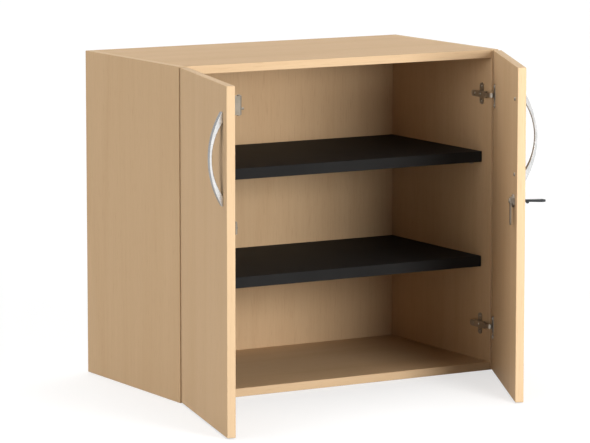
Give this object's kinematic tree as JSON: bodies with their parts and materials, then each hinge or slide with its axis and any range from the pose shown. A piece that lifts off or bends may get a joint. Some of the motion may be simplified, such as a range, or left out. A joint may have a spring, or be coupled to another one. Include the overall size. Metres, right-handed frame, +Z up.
{
  "type": "office cupboard",
  "caption": "Low board-built office cupboard with overlay doors on cup hinges, dark shelves on pins, bow handles and a key-turned cam lock.",
  "frame": {"origin": "middle of the bottom panel's underside, on the surface that the cupboard stands on", "axes": "+Z up, +X to the right seen from the front, +Y towards the back"},
  "size_m": [0.9226, 0.8195, 0.715],
  "materials": {
    "maple_board": "satin maple-coloured melamine with faint grain",
    "black_board": "satin black melamine",
    "beech_dowel": "raw turned beech",
    "nickel_steel": "satin nickel-plated steel",
    "satin_silver": "bright satin silver",
    "dark_plastic": "moulded dark grey plastic"
  },
  "bodies": {
    "carcass": {"left_side_panel": "maple_board", "right_side_panel": "maple_board", "top_panel": "maple_board", "bottom_panel": "maple_board", "back_panel": "maple_board", "upper_shelf": "black_board", "lower_shelf": "black_board", "left_top_front_dowel": "beech_dowel", "left_top_rear_dowel": "beech_dowel", "left_bottom_front_dowel": "beech_dowel", "left_bottom_rear_dowel": "beech_dowel", "right_top_front_dowel": "beech_dowel", "right_top_rear_dowel": "beech_dowel", "right_bottom_front_dowel": "beech_dowel", "right_bottom_rear_dowel": "beech_dowel", "upper_shelf_left_front_pin": "nickel_steel", "upper_shelf_left_rear_pin": "nickel_steel", "upper_shelf_right_front_pin": "nickel_steel", "upper_shelf_right_rear_pin": "nickel_steel", "lower_shelf_left_front_pin": "nickel_steel", "lower_shelf_left_rear_pin": "nickel_steel", "lower_shelf_right_front_pin": "nickel_steel", "lower_shelf_right_rear_pin": "nickel_steel", "left_lower_hinge_plate": "nickel_steel", "left_upper_hinge_plate": "nickel_steel", "right_lower_hinge_plate": "nickel_steel", "right_upper_hinge_plate": "nickel_steel", "left_lower_hinge_arm": "nickel_steel", "left_upper_hinge_arm": "nickel_steel", "right_lower_hinge_arm": "nickel_steel", "right_upper_hinge_arm": "nickel_steel"},
    "left_door": {"left_door": "maple_board", "left_lower_hinge_cup": "nickel_steel", "left_upper_hinge_cup": "nickel_steel", "left_lower_hinge_pin": "nickel_steel", "left_upper_hinge_pin": "nickel_steel", "left_handle": "satin_silver", "left_handle_lower_screw": "nickel_steel", "left_handle_upper_screw": "nickel_steel", "lock_strike": "nickel_steel", "bolt_guide": "nickel_steel"},
    "right_door": {"right_door": "maple_board", "right_lower_hinge_cup": "nickel_steel", "right_upper_hinge_cup": "nickel_steel", "right_lower_hinge_pin": "nickel_steel", "right_upper_hinge_pin": "nickel_steel", "right_handle": "satin_silver", "right_handle_lower_screw": "nickel_steel", "right_handle_upper_screw": "nickel_steel", "lock_barrel": "nickel_steel", "lock_nut": "nickel_steel"},
    "lock": {"lock_plug": "nickel_steel", "lock_cam": "nickel_steel", "cam_screw": "nickel_steel"},
    "key": {"key_blade": "nickel_steel", "key_bow": "dark_plastic"},
    "bolt": {"door_bolt": "nickel_steel"}
  },
  "joints": [
    {"name": "left_door_swing", "type": "hinge", "parent": "carcass", "child": "left_door", "pos_m": [-0.391, -0.2264, 0], "axis": [0, 0, -1], "range_deg": [-105, 5]},
    {"name": "right_door_swing", "type": "hinge", "parent": "carcass", "child": "right_door", "pos_m": [0.391, -0.2264, 0], "axis": [0, 0, 1], "range_deg": [-64, 46]},
    {"name": "lock_turn", "type": "hinge", "parent": "right_door", "child": "lock", "pos_m": [0.23779, -0.54053, 0.4275], "axis": [-0.8988, 0.4384, 0], "range_deg": [0, 90]},
    {"name": "key_pull", "type": "slide", "parent": "lock", "child": "key", "axis": [0.8988, -0.4384, 0], "range_m": [0, 0.022]},
    {"name": "bolt_slide", "type": "slide", "parent": "left_door", "child": "bolt", "axis": [0, 0, 1], "range_m": [0, 0.013]}
  ]
}
